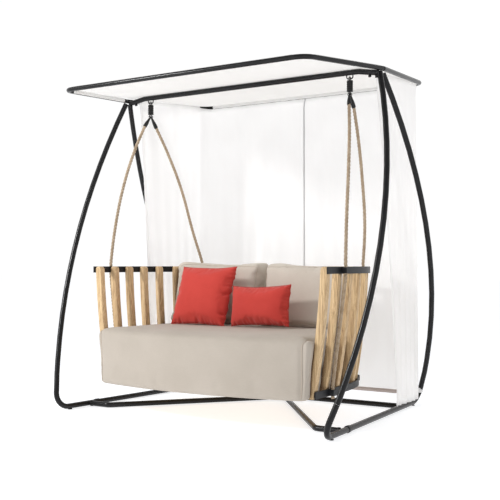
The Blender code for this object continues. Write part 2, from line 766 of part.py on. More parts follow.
for hand, label in ((-1, "left"), (1, "right")):
    side_frame(hand, label)
base_stretchers()
canopy_frame()
canopy_cloth()
curtains()
suspension()
bands()
slats()
seat()
back_cushions()
for cushion in RED_CUSHIONS:
    scatter_cushion(*cushion)
hang_on_empties()
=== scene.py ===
"""Canopy swing bench: fine surfaces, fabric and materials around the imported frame. Metres, +Z up."""
import json
import math

import bmesh
import bpy
from mathutils import Euler, Matrix, Vector, noise
from mathutils.bvhtree import BVHTree


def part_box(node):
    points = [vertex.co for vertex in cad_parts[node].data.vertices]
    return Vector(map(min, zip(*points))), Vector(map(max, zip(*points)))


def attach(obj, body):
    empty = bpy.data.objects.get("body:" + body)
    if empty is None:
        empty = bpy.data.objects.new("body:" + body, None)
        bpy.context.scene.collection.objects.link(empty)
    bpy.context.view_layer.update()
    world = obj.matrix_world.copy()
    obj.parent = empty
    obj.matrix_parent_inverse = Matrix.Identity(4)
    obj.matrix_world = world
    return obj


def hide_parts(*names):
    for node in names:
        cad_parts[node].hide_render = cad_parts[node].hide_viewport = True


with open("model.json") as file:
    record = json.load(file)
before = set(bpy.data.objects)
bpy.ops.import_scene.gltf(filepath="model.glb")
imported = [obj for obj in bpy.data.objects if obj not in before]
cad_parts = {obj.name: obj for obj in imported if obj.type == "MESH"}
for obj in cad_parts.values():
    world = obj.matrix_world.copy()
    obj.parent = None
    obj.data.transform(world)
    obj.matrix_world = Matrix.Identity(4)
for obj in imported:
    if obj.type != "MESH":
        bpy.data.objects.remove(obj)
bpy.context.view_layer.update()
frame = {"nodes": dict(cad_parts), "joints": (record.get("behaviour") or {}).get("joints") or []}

PIVOT = Vector(frame["joints"][0]["pos_m"])
BEAM_Y = PIVOT.y
NODES = frame["nodes"]

SIDES = ((-1, "left"), (1, "right"))

# Camera
CAMERA_PLACE = (3.272, BEAM_Y - 4.9665, 0.9509)
CAMERA_TURN = (90.91, 0.0, 32.9155)
CAMERA_LENS = 65.01
CAMERA_SHIFT = (-0.001, 0.001)

# Slats
SLAT_LEVELS = 6
SLAT_EDGE_R = 0.005
SLAT_ARCH_R = 0.020
SLAT_ROWS = 18

# Ropes: the same knots as the solids, relative to the beam
FRONT_ROPE = ((0.801, -0.045, 1.925), (0.836, -0.112, 1.750), (0.868, -0.190, 1.500), (0.888, -0.256, 1.200))
REAR_ROPE = ((0.781, 0.058, 1.925), (0.758, 0.164, 1.750), (0.728, 0.284, 1.500), (0.698, 0.382, 1.200))
ROPE_R = 0.011
ROPE_PITCH = 0.070
ROPE_STRAIGHT = 0.035
ROPE_STEPS = 14
STRANDS = 3

# Frame
TUBE_R = 0.0175
RAIL_SPLAY = -0.0753
CLAMP_SHIFT = 0.070
TIE_Z = 0.125

# Canopy: each corner as (x, y); a hem runs round its tube from the high to the low angle, in degrees
CANOPY_SLOPE = 0.0722
CANOPY_MID_X = 1.005
CANOPY_FRONT = (0.888, -0.747)
CANOPY_REAR = (0.910, 0.840)
CANOPY_BEND_R = 0.085
HOOP_R = 0.0145
HEM_HIGH = 95
HEM_LOW = -50

# Curtains: front edges at the top and at the hem, and the height of the hem
CURTAIN_X = 0.900
CURTAIN_Y = 0.800
CURTAIN_EDGE_Y = {"left": 0.020, "right": 0.120}
CURTAIN_CORNER_R = 0.060
CURTAIN_OVERLAP = 0.010
FOLD_PITCH = 0.125
HEM_EDGE_Y = {"left": 0.150, "right": 0.400}
BACK_HEM_Z = 0.068
SIDE_HEM_Z = 0.045

# Cushions: a voxel is the remeshed size, a cap is how far a point may swell
SEAT_SEAM_X = {-1: 0.785, 1: 0.762}
SEAT_EDGE_R = 0.030
SEAT_VOXEL = 0.0145
SEAT_CAP = 0.012
BACK_RISE = {"left": (0.034, 0.056), "right": (0.032, 0.016)}
BACK_LEAN = 0.115
BACK_EDGE_R = 0.035
BACK_VOXEL = 0.009
BACK_CAP = 0.024
PILLOW_STEP = 0.0075
PILLOW_CAP = 0.012
PUCKER = 0.019
CLOTH_STIFFNESS = 15.0
PIPING_SINK = 0.35

# Floor and light
FLOOR_R = 60.0
FLOOR_GLOW = 0.74
SKY_POWER = 1.02
OVERHEAD = 0.42
NEAR_SIDE = 0.70
KEY_POWER = 190
FILL_POWER = 20


def linked(name, data):
    """A new object in the scene."""
    obj = bpy.data.objects.new(name, data)
    bpy.context.scene.collection.objects.link(obj)
    return obj


def camera():
    """The camera, at the height of the bench and to its front right."""
    data = bpy.data.cameras.new("camera")
    data.sensor_width = 36.0
    data.lens = CAMERA_LENS
    data.shift_x, data.shift_y = CAMERA_SHIFT
    obj = linked("camera", data)
    obj.location = CAMERA_PLACE
    obj.rotation_euler = [math.radians(a) for a in CAMERA_TURN]
    bpy.context.scene.camera = obj


camera()


# ---------------------------------------------------------------- materials
def node(mat, kind, inputs=None, **settings):
    """A shader node with its settings and inputs; an input is a value or another node's socket."""
    made = mat.node_tree.nodes.new(kind)
    for key, value in settings.items():
        setattr(made, key, value)
    for key, value in (inputs or {}).items():
        if isinstance(value, bpy.types.NodeSocket):
            mat.node_tree.links.new(value, made.inputs[key])
        else:
            made.inputs[key].default_value = value
    return made


def start_material(name, roughness, **sockets):
    """A material with its Principled shader, and the object coordinates it is patterned by."""
    mat = bpy.data.materials.new(name)
    mat.use_nodes = True
    shader = mat.node_tree.nodes["Principled BSDF"]
    shader.inputs["Roughness"].default_value = roughness
    for key, value in sockets.items():
        shader.inputs[key.replace("_", " ")].default_value = value
    coords = node(mat, "ShaderNodeTexCoord").outputs["Object"]
    return mat, shader, coords


def ramp(mat, factor, stops):
    """A colour ramp with its stops as (place, colour)."""
    made = node(mat, "ShaderNodeValToRGB", {"Fac": factor})
    band = made.color_ramp
    while len(band.elements) < len(stops):
        band.elements.new(0.5)
    for element, (place, colour) in zip(band.elements, stops):
        element.position = place
        element.color = (*colour, 1.0)
    return made.outputs["Color"]


def stretched_noise(mat, coords, scale, detail, roughness=0.55):
    """Noise in coordinates scaled by axis."""
    spot = node(mat, "ShaderNodeMapping", {"Vector": coords, "Scale": scale}).outputs["Vector"]
    inputs = {"Vector": spot, "Scale": 1.0, "Detail": detail, "Roughness": roughness}
    return node(mat, "ShaderNodeTexNoise", inputs).outputs["Fac"]


def maths(mat, operation, a, b=None):
    """One maths node."""
    inputs = {0: a}
    if b is not None:
        inputs[1] = b
    return node(mat, "ShaderNodeMath", inputs, operation=operation).outputs[0]


def feed(mat, shader, name, value):
    """Links a value to one of the shader's inputs."""
    mat.node_tree.links.new(value, shader.inputs[name])


def bump(mat, shader, height, strength, distance):
    """Bump on the shader from a height."""
    made = node(mat, "ShaderNodeBump", {"Height": height, "Strength": strength, "Distance": distance})
    feed(mat, shader, "Normal", made.outputs["Normal"])


def remap(mat, value, low, high):
    """A value from 0 to 1 mapped to low to high."""
    made = node(mat, "ShaderNodeMapRange", {"Value": value, "To Min": low, "To Max": high})
    return made.outputs["Result"]


def powder_coat(name, dark, light, roughness):
    """Satin powder coat: a fine orange peel, slightly uneven gloss, and dust in the colour."""
    mat, shader, coords = start_material(name, roughness, Specular_IOR_Level=0.25)
    cloud = stretched_noise(mat, coords, (7, 7, 7), 3)
    grain = stretched_noise(mat, coords, (900, 900, 900), 1)
    feed(mat, shader, "Base Color", ramp(mat, cloud, ((0.35, dark), (0.7, light))))
    feed(mat, shader, "Roughness", remap(mat, cloud, roughness - 0.06, roughness + 0.08))
    bump(mat, shader, grain, 0.12, 0.0004)
    return mat


def black_plastic(name, roughness):
    """Matt black plastic or rubber with a fine grain."""
    mat, shader, coords = start_material(name, roughness, Specular_IOR_Level=0.25)
    grain = stretched_noise(mat, coords, (600, 600, 600), 2)
    colour = ramp(mat, grain, ((0.3, (0.010, 0.010, 0.010)), (0.7, (0.022, 0.022, 0.022))))
    feed(mat, shader, "Base Color", colour)
    bump(mat, shader, grain, 0.3, 0.0005)
    return mat


def mix(mat, factor, a, b):
    """One colour multiplied by another, by a share."""
    made = node(mat, "ShaderNodeMix", data_type="RGBA", blend_type="MULTIPLY")
    for slot, value in ((0, factor), (6, a), (7, b)):
        if isinstance(value, bpy.types.NodeSocket):
            mat.node_tree.links.new(value, made.inputs[slot])
        else:
            made.inputs[slot].default_value = value
    return made.outputs[2]


def teak():
    """Oiled teak: streaky grain along Z, darker pores, each slat in its own tone, and painted shade where
    ambient occlusion finds parts close by.
    """
    mat, shader, coords = start_material("teak", 0.55)
    own = node(mat, "ShaderNodeObjectInfo").outputs["Random"]
    shift = node(mat, "ShaderNodeCombineXYZ", {"X": maths(mat, "MULTIPLY", own, 37.0),
                                               "Y": maths(mat, "MULTIPLY", own, 53.0),
                                               "Z": maths(mat, "MULTIPLY", own, 19.0)}).outputs["Vector"]
    moved = node(mat, "ShaderNodeVectorMath", {0: coords, 1: shift}, operation="ADD").outputs["Vector"]
    wander = stretched_noise(mat, moved, (9, 9, 2.2), 2)
    drift = node(mat, "ShaderNodeCombineXYZ", {"X": maths(mat, "MULTIPLY", wander, 0.05),
                                               "Y": maths(mat, "MULTIPLY", wander, 0.05)}).outputs["Vector"]
    bent = node(mat, "ShaderNodeVectorMath", {0: moved, 1: drift}, operation="ADD").outputs["Vector"]
    grain = stretched_noise(mat, bent, (150, 150, 4.5), 5, 0.6)
    pores = stretched_noise(mat, bent, (620, 620, 14), 2, 0.5)
    colour = ramp(mat, grain, ((0.28, (0.30, 0.185, 0.095)), (0.43, (0.58, 0.400, 0.215)),
                               (0.60, (0.80, 0.600, 0.345)), (0.80, (0.90, 0.72, 0.45))))
    dark = ramp(mat, pores, ((0.30, (0.55, 0.50, 0.45)), (0.42, (1.0, 1.0, 1.0))))
    tint = ramp(mat, own, ((0.0, (0.84, 0.80, 0.76)), (1.0, (1.0, 0.98, 0.95))))
    colour = mix(mat, 0.8, colour, dark)
    colour = mix(mat, 1.0, colour, tint)
    # Painted shade: the wood colour darkens where ambient occlusion finds parts close by, between the slats
    # and beside the seat.
    occlusion = node(mat, "ShaderNodeAmbientOcclusion", {"Distance": 0.12}, samples=8).outputs["AO"]
    painted_crevice_shade = ramp(mat, occlusion, ((0.42, (0.18, 0.13, 0.10)), (0.57, (1.0, 1.0, 1.0))))
    colour = mix(mat, 1.0, colour, painted_crevice_shade)
    feed(mat, shader, "Base Color", colour)
    feed(mat, shader, "Roughness", remap(mat, grain, 0.62, 0.46))
    bump(mat, shader, maths(mat, "ADD", maths(mat, "MULTIPLY", grain, 0.6), pores), 0.35, 0.0006)
    return mat


def rope_fibre():
    """Natural fibre: dry, streaky and a little uneven in colour."""
    mat, shader, coords = start_material("rope_fibre", 0.92, Sheen_Weight=0.15)
    blotch = stretched_noise(mat, coords, (28, 28, 28), 3)
    fibre = stretched_noise(mat, coords, (900, 900, 260), 3)
    colour = ramp(mat, blotch, ((0.3, (0.40, 0.30, 0.20)), (0.7, (0.56, 0.45, 0.33))))
    streak = ramp(mat, fibre, ((0.3, (0.62, 0.58, 0.53)), (0.6, (1.0, 1.0, 1.0))))
    feed(mat, shader, "Base Color", mix(mat, 0.7, colour, streak))
    bump(mat, shader, fibre, 0.6, 0.001)
    return mat


def woven(name, dark, light, pitch, strength, sheen, slub=0.3, through=0.0, painted_glow=0.0):
    """Woven cloth: threads along X, Y and Z, slubs, slow colour variation, light coming through, and a
    painted glow from emission in its own colour.
    """
    mat, shader, coords = start_material(name, 0.92, Sheen_Weight=sheen, Sheen_Roughness=0.5)
    split = node(mat, "ShaderNodeSeparateXYZ", {"Vector": coords})
    waves = []
    for axis in "XYZ":
        turn = maths(mat, "MULTIPLY", split.outputs[axis], math.tau / pitch)
        waves.append(maths(mat, "SINE", turn))
    weave = maths(mat, "ADD", maths(mat, "ADD", waves[0], waves[1]), waves[2])
    weave = remap(mat, maths(mat, "MULTIPLY", weave, 1 / 3), 0.5, 1.0)
    cloud = stretched_noise(mat, coords, (4, 4, 4), 4)
    thread = stretched_noise(mat, coords, (60, 60, 420), 3)
    colour = ramp(mat, cloud, ((0.30, dark), (0.70, light)))
    slubs = ramp(mat, thread, ((0.35, (0.90, 0.89, 0.88)), (0.6, (1.0, 1.0, 1.0))))
    colour = mix(mat, slub, colour, slubs)
    feed(mat, shader, "Base Color", colour)
    height = maths(mat, "ADD", weave, maths(mat, "MULTIPLY", thread, 0.5))
    bump(mat, shader, height, strength, 0.0006)
    if through:
        # Painted glow: emission in the cloth's own colour brightens it, although it is not a lamp.
        feed(mat, shader, "Emission Color", colour)
        shader.inputs["Emission Strength"].default_value = painted_glow / (1 - through)
        lit = node(mat, "ShaderNodeBsdfTranslucent", {"Color": colour})
        both = node(mat, "ShaderNodeMixShader", {0: through, 1: shader.outputs[0], 2: lit.outputs[0]})
        feed(mat, mat.node_tree.nodes["Material Output"], "Surface", both.outputs[0])
    return mat


STEEL = powder_coat("black_powder_coat", (0.0085, 0.0085, 0.0090), (0.014, 0.014, 0.015), 0.23)
BAND = powder_coat("black_band_coat", (0.013, 0.014, 0.016), (0.020, 0.021, 0.024), 0.42)
FITTING = black_plastic("black_fitting", 0.45)
RUBBER = black_plastic("black_rubber", 0.8)
TEAK = teak()
FIBRE = rope_fibre()
BEIGE = woven("beige_linen", (0.465, 0.412, 0.350), (0.512, 0.455, 0.392), 0.0016, 0.25, 0.12)
PALE_BEIGE = woven("pale_beige_linen", (0.545, 0.485, 0.415), (0.60, 0.54, 0.47), 0.0016, 0.25, 0.12)
RED = woven("red_canvas", (0.50, 0.036, 0.026), (0.58, 0.050, 0.036), 0.0014, 0.25, 0.10)
SEAM_BEIGE = woven("beige_piping", (0.47, 0.40, 0.33), (0.53, 0.46, 0.385), 0.0010, 0.3, 0.1)
SEAM_RED = woven("red_piping", (0.40, 0.028, 0.020), (0.48, 0.038, 0.028), 0.0010, 0.3, 0.1)
# The roof cloth and the curtains are brightened by a painted glow: emission that stands in for the light
# they let through.
ROOF_CLOTH = woven("white_roof_cloth", (0.90, 0.895, 0.885), (0.93, 0.925, 0.915), 0.0020, 0.10, 0.05,
                   through=0.55, painted_glow=0.14)
CURTAIN = woven("white_curtain_cloth", (0.92, 0.917, 0.915), (0.95, 0.947, 0.945), 0.0012, 0.10, 0.05,
                through=0.6, painted_glow=0.105)
SEAM_WHITE = woven("curtain_seam", (0.68, 0.68, 0.69), (0.74, 0.74, 0.75), 0.0012, 0.10, 0.05, through=0.3)
# A taupe band along the back hem: a strip on the hem whose darker colour is painted shade.
HEM_SHADE_BAND = woven("taupe_hem_tape", (0.50, 0.42, 0.39), (0.58, 0.50, 0.47), 0.0012, 0.2, 0.05)


# ---------------------------------------------------------------- making pieces
def place(name, shape, mat, body, slot, angle=None):
    """A new piece, from a mesh or a bmesh, that rides on a body and takes the given material; the slot is
    not used.
    """
    mesh = mesh_of(shape, name) if isinstance(shape, bmesh.types.BMesh) else shape
    obj = linked(name, mesh)
    mesh.materials.clear()
    mesh.materials.append(mat)
    mesh.shade_smooth()
    if angle:
        mesh.set_sharp_from_angle(angle=math.radians(angle))
    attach(obj, body)
    return obj


def mesh_of(bm, name):
    """A mesh from a bmesh, faces turned out."""
    bmesh.ops.recalc_face_normals(bm, faces=bm.faces)
    mesh = bpy.data.meshes.new(name)
    bm.to_mesh(mesh)
    bm.free()
    return mesh


def skin(bm, rows, closed=True, caps=True):
    """Faces through rows of points. Each row is a loop unless closed is False."""
    levels = [[bm.verts.new(p) for p in row] for row in rows]
    count = len(levels[0])
    for lower, upper in zip(levels, levels[1:]):
        for i in range(count if closed else count - 1):
            j = (i + 1) % count
            bm.faces.new((lower[i], lower[j], upper[j], upper[i]))
    if caps:
        bm.faces.new(levels[0][::-1])
        bm.faces.new(levels[-1])
    return levels


def frames(path):
    """Directions across a path that turn as little as possible along it."""
    out = []
    side = None
    for i, here in enumerate(path):
        ahead = (path[min(i + 1, len(path) - 1)] - path[max(i - 1, 0)]).normalized()
        if side is None:
            side = ahead.orthogonal().normalized()
        side = (side - ahead * side.dot(ahead)).normalized()
        out.append((here, side, ahead.cross(side)))
    return out


def sweep(bm, path, radius, sides):
    """A round tube along a path."""
    rows = []
    for here, side, up in frames(path):
        rows.append([here + (side * math.cos(a) + up * math.sin(a)) * radius
                     for a in (math.tau * k / sides for k in range(sides))])
    skin(bm, rows)


def turned(bm, profile, base, axis, sides):
    """A turned body: (radius, height) points along an axis from a base point."""
    axis = Vector(axis).normalized()
    side = axis.orthogonal().normalized()
    up = axis.cross(side)
    rows = []
    for radius, height in profile:
        rows.append([Vector(base) + axis * height + (side * math.cos(a) + up * math.sin(a)) * radius
                     for a in (math.tau * k / sides for k in range(sides))])
    skin(bm, rows)


def ring(bm, centre, radius, wire, axis, sides=10, turns=28):
    """A round wire ring about an axis."""
    axis = Vector(axis).normalized()
    side = axis.orthogonal().normalized()
    up = axis.cross(side)
    rows = []
    for k in range(turns):
        a = math.tau * k / turns
        out = side * math.cos(a) + up * math.sin(a)
        spot = Vector(centre) + out * radius
        rows.append([spot + out * (wire * math.cos(b)) + axis * (wire * math.sin(b))
                     for b in (math.tau * m / sides for m in range(sides))])
    levels = skin(bm, rows, caps=False)
    for i in range(sides):
        j = (i + 1) % sides
        bm.faces.new((levels[-1][i], levels[-1][j], levels[0][j], levels[0][i]))


def welded(name):
    """A CAD node's mesh as a bmesh, with the doubled vertices of its sharp edges joined."""
    bm = bmesh.new()
    bm.from_mesh(NODES[name].data)
    bmesh.ops.remove_doubles(bm, verts=bm.verts, dist=2e-5)
    return bm


def coat_node(name, mat, angle=35.0):
    """A better material on a CAD node, and smooth shading across its facets."""
    obj = NODES[name]
    obj.data.materials[0] = mat
    for extra in ("custom_normal", "sharp_face", "sharp_edge"):
        if extra in obj.data.attributes:
            obj.data.attributes.remove(obj.data.attributes[extra])
    obj.data.shade_smooth()
    weld = obj.modifiers.new("weld", "WELD")
    weld.merge_threshold = 0.00002
    split = obj.modifiers.new("edges", "EDGE_SPLIT")
    split.split_angle = math.radians(angle)


# ---------------------------------------------------------------- frame and bands
for node_name in NODES:
    if node_name.endswith("band"):
        coat_node(node_name, BAND)
    elif node_name.startswith("foot_"):
        coat_node(node_name, RUBBER)
    elif node_name.startswith("beam_hook"):
        coat_node(node_name, FITTING, 50)
    elif any(word in node_name for word in ("leg", "rail", "stretcher", "tube", "beam", "hoop")):
        coat_node(node_name, STEEL)
    elif node_name == "seat_platform":
        coat_node(node_name, TEAK)


def brackets():
    """Clamp plates, bolts and nuts where beam, legs and canopy meet."""
    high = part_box("top_beam")[1]
    for side, word in SIDES:
        bm = bmesh.new()
        end = side * (high.x - 0.012)
        for along, drop in ((0.0, 0.012), (-0.045 * side, 0.002)):
            x = end + along
            z = high.z - 0.053 + 0.018 * (abs(along) > 0) + drop
            where = Matrix.Translation((x, BEAM_Y, z - 0.018)) @ Matrix.Diagonal((0.020, 0.006, 0.020, 1.0))
            plate = bmesh.ops.create_cube(bm, size=1.0, matrix=where)["verts"]
            edges = [e for e in bm.edges if e.verts[0] in plate]
            bmesh.ops.bevel(bm, geom=edges, offset=0.002, segments=2, affect="EDGES")
            for face in (-1, 1):
                turned(bm, ((0.0075, 0.0), (0.0075, 0.004), (0.0055, 0.0065), (0.002, 0.0072)),
                       (x, BEAM_Y + face * 0.003, z - 0.019), (0, face, 0), 12)
        place("apex_bracket_" + word, bm, FITTING, "frame", "frame_steel", 40)


brackets()


def collars():
    """Cast saddles where the base stretchers meet the floor rails."""
    r = TUBE_R
    for name in ("front_v_stretcher", "rear_cross_tube"):
        low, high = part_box(name)
        y = low.y + r if name == "front_v_stretcher" else (low.y + high.y) / 2
        for side, word in SIDES:
            x = side * high.x
            bm = bmesh.new()
            turned(bm, ((r + 0.0008, 0.0), (r + 0.0022, 0.001), (r + 0.0022, 0.012), (r + 0.0008, 0.0135)),
                   (x - side * 0.0005, y, (low.z + high.z) / 2), (-side, 0, 0), 32)
            place(f"saddle_{name}_{word}", bm, STEEL, "frame", "frame_steel", 40)


collars()


# ---------------------------------------------------------------- slats
def slat_sections(name):
    """For each slat in a CAD node: its four corners at each level, in the same order at every level."""
    low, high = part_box(name)
    bm = welded(name)
    slats = []
    for k in range(SLAT_LEVELS + 1):
        z = low.z + (high.z - low.z) * k / SLAT_LEVELS
        spots = [v.co.copy() for v in bm.verts if abs(v.co.z - z) < 4e-4]
        spots.sort(key=lambda p: p.x)
        groups = [spots[:4], spots[4:]] if len(spots) > 4 else [spots]
        for number, group in enumerate(groups):
            centre = sum(group, Vector()) / 4
            if k == 0:
                group.sort(key=lambda p: math.atan2(p.y - centre.y, p.x - centre.x))
                slats.append([group])
            else:
                before = slats[number][-1]
                old = sum(before, Vector()) / 4
                slats[number].append([min(group, key=lambda p: ((p - centre) - (b - old)).length)
                                      for b in before])
    bm.free()
    return slats


def slat_piece(name, levels, nodes):
    """One slat: rounded edges, a round top, and its slight outward bow."""
    rows = []
    for corners in levels:
        centre = sum(corners, Vector()) / 4
        a = (corners[1] - corners[0] + corners[2] - corners[3]) / 2
        b = (corners[2] - corners[1] + corners[3] - corners[0]) / 2
        rows.append((centre, a, b))
    if rows[0][1].length < rows[0][2].length:
        rows = [(c, b, a) for c, a, b in rows]
    top = rows[-1][0].z
    base = rows[0][0].z

    def at(z):
        level = (z - base) / (top - base) * SLAT_LEVELS
        k = min(int(level), SLAT_LEVELS - 1)
        t = level - k
        return [p.lerp(q, t) for p, q in zip(rows[k], rows[k + 1])]

    heights = [(base, 0.003), (base + 0.003, 0.0)]
    for k in range(1, SLAT_ROWS + 1):
        heights.append((base + 0.003 + (top - SLAT_ARCH_R - base - 0.003) * k / SLAT_ROWS, 0.0))
    steps = 6
    for k in range(1, steps + 1):
        turn = math.pi / 2 * k / steps
        heights.append((top - SLAT_ARCH_R * (1 - math.sin(turn)), SLAT_ARCH_R * (1 - math.cos(turn))))
    bm = bmesh.new()
    loops = []
    for z, pull in heights:
        centre, deep, wide = at(z)
        centre.z = z
        half_deep = deep.length / 2 - pull
        half_wide = wide.length / 2 - (pull if z < top - SLAT_ARCH_R else pull * 0.12)
        r = min(SLAT_EDGE_R, half_deep * 0.9)
        u = deep.normalized()
        v = wide.normalized()
        loop = []
        for quarter in range(4):
            sx = (1, -1, -1, 1)[quarter]
            sy = (1, 1, -1, -1)[quarter]
            for m in range(4):
                a = math.pi / 2 * (quarter + m / 3)
                loop.append(centre + u * (sx * (half_deep - r) + r * math.cos(a))
                            + v * (sy * (half_wide - r) + r * math.sin(a)))
        loops.append(loop)
    skin(bm, loops)
    piece = place(name, bm, TEAK, "swing", "teak_slats", 35)
    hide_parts(*nodes)


for node_name in sorted(n for n in NODES if n.startswith("slat")):
    numbers = node_name.split("_")[1:]
    for count, sections in enumerate(slat_sections(node_name)):
        slat_piece(f"slat_wood_{numbers[count]}", sections, [node_name])


# ---------------------------------------------------------------- ropes and their fittings
def rope_path(knots, side, node_name):
    """The rope's centre line: the listed knots, then straight through both bands' eyes."""
    bm = welded(node_name)
    low = min(v.co.z for v in bm.verts)
    tail = [v.co for v in bm.verts if v.co.z < low + 1e-4]
    lower = sum(tail, Vector()) / len(tail)
    band_low, band_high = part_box("top_band")
    eye_z = (band_low.z + band_high.z) / 2
    near = [v.co for v in bm.verts if abs(v.co.z - eye_z - ROPE_STRAIGHT) < 2e-3]
    upper = sum(near, Vector()) / len(near)
    bm.free()
    bottom_low, bottom_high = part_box("bottom_band")
    low_z = (bottom_low.z + bottom_high.z) / 2
    points = [Vector((side * x, y + BEAM_Y, z)) for x, y, z in knots]
    for spot, z in ((upper, eye_z + ROPE_STRAIGHT), (upper, eye_z - ROPE_STRAIGHT),
                    (lower, low_z + ROPE_STRAIGHT), (lower, low)):
        points.append(Vector((spot.x, spot.y, z)))
    curve = bpy.data.curves.new("route", "CURVE")
    curve.dimensions = "3D"
    curve.resolution_u = 24
    spline = curve.splines.new("BEZIER")
    spline.bezier_points.add(len(points) - 1)
    for slot, point in zip(spline.bezier_points, points):
        slot.co = point
        slot.handle_left_type = "AUTO"
        slot.handle_right_type = "AUTO"
    for slot in spline.bezier_points[len(knots):]:
        slot.handle_left_type = "FREE"
        slot.handle_right_type = "FREE"
        slot.handle_left = slot.co + Vector((0, 0, 0.02))
        slot.handle_right = slot.co - Vector((0, 0, 0.02))
    obj = linked("route", curve)
    bpy.context.view_layer.update()
    mesh = obj.evaluated_get(bpy.context.evaluated_depsgraph_get()).to_mesh()
    path = [v.co.copy() for v in mesh.vertices]
    bpy.data.objects.remove(obj, do_unlink=True)
    return path


def even(path, step):
    """The same path with its points a step apart."""
    out = [path[0].copy()]
    left = step
    for a, b in zip(path, path[1:]):
        length = (b - a).length
        done = 0.0
        while length - done >= left:
            done += left
            out.append(a.lerp(b, done / length))
            left = step
        left -= length - done
    return out


def twisted(name, path, nodes):
    """A three-strand rope laid round its path."""
    strand = ROPE_R / (1 + 2 / math.sqrt(3))
    path = even(path, ROPE_PITCH / ROPE_STEPS)
    across = frames(path)
    bm = bmesh.new()
    for s in range(STRANDS):
        line = []
        for i, (here, side, up) in enumerate(across):
            a = math.tau * (i / ROPE_STEPS + s / STRANDS)
            line.append(here + (side * math.cos(a) + up * math.sin(a)) * (ROPE_R - strand))
        sweep(bm, line, strand * 1.04, 8)
    piece = place(name, bm, FIBRE, "swing", "twisted_rope")
    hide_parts(*nodes)


def fittings():
    """Ribbed swivels with their eyes, and tapered sleeves with loops on the ropes' ends."""
    for word in ("left", "right"):
        low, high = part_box("swivel_" + word)
        x = (low.x + high.x) / 2
        eye_r, wire = 0.0115, 0.0035
        top_eye = high.z - eye_r - wire
        low_eye = low.z + eye_r + wire
        bottom, top = low_eye + 0.010, top_eye - 0.011
        r = (high.x - low.x) / 2
        profile = [(r * 0.45, 0.0), (r * 0.92, 0.0)]
        ribs = 5
        step = (top - bottom) / ribs
        for k in range(ribs):
            z = k * step
            profile += [(r, z + step * 0.10), (r, z + step * 0.62), (r * 0.90, z + step * 0.74),
                        (r * 0.90, z + step * 0.96)]
        profile += [(r * 0.92, top - bottom), (r * 0.45, top - bottom + 0.0005)]
        bm = bmesh.new()
        turned(bm, profile, (x, BEAM_Y, bottom), (0, 0, 1), 32)
        for eye, sign in ((top_eye, -1), (low_eye, 1)):
            ring(bm, (x, BEAM_Y, eye), eye_r, wire, (1, 0, 0))
        body = place("swivel_body_" + word, bm, FITTING, "swing", "swivel_metal", 35)
        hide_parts("swivel_" + word)
        for end, knots in (("front", FRONT_ROPE), ("rear", REAR_ROPE)):
            tag = f"rope_end_{end}_{word}"
            side = -1 if word == "left" else 1
            start = Vector((side * knots[0][0], knots[0][1] + BEAM_Y, knots[0][2]))
            tip = Vector((x, BEAM_Y + (-0.0105 if end == "front" else 0.0105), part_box(tag)[1].z))
            span = (tip - start).length
            bm = bmesh.new()
            turned(bm, ((0.0118, 0.0), (0.0135, 0.001), (0.0133, span * 0.30), (0.0118, span * 0.42),
                        (0.0124, span * 0.46), (0.0100, span * 0.62), (0.0078, span * 0.85), (0.0060, span)),
                   start, tip - start, 24)
            ring(bm, tip.lerp(Vector((x, tip.y, low_eye)), 0.45), 0.0085, 0.0024,
                 (0, 1, 0.35 if end == "front" else -0.35))
            piece = place(tag + "_sleeve", bm, FITTING, "swing", "rope_end_sleeve", 35)
            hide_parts(tag)
            twisted(f"rope_{end}_{word}_strands", rope_path(knots, side, f"rope_{end}_{word}"),
                    [f"rope_{end}_{word}"])


fittings()


# ---------------------------------------------------------------- roof cloth
BEAM_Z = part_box("top_beam")[1].z - TUBE_R


def canopy_z(y):
    """The height of the hoops' plane at y, measured from the beam."""
    return BEAM_Z + CANOPY_SLOPE * y


def sheet(name, rows, mat, slot, thickness, bm=None):
    """A thin cloth on the frame through rows of points, added to what the bmesh holds already."""
    if bm is None:
        bm = bmesh.new()
    skin(bm, rows, closed=False, caps=False)
    cloth = place(name, bm, mat, "frame", slot)
    step = cloth.modifiers.new("cloth_thickness", "SOLIDIFY")
    step.thickness = thickness
    step.offset = 0.0
    return cloth


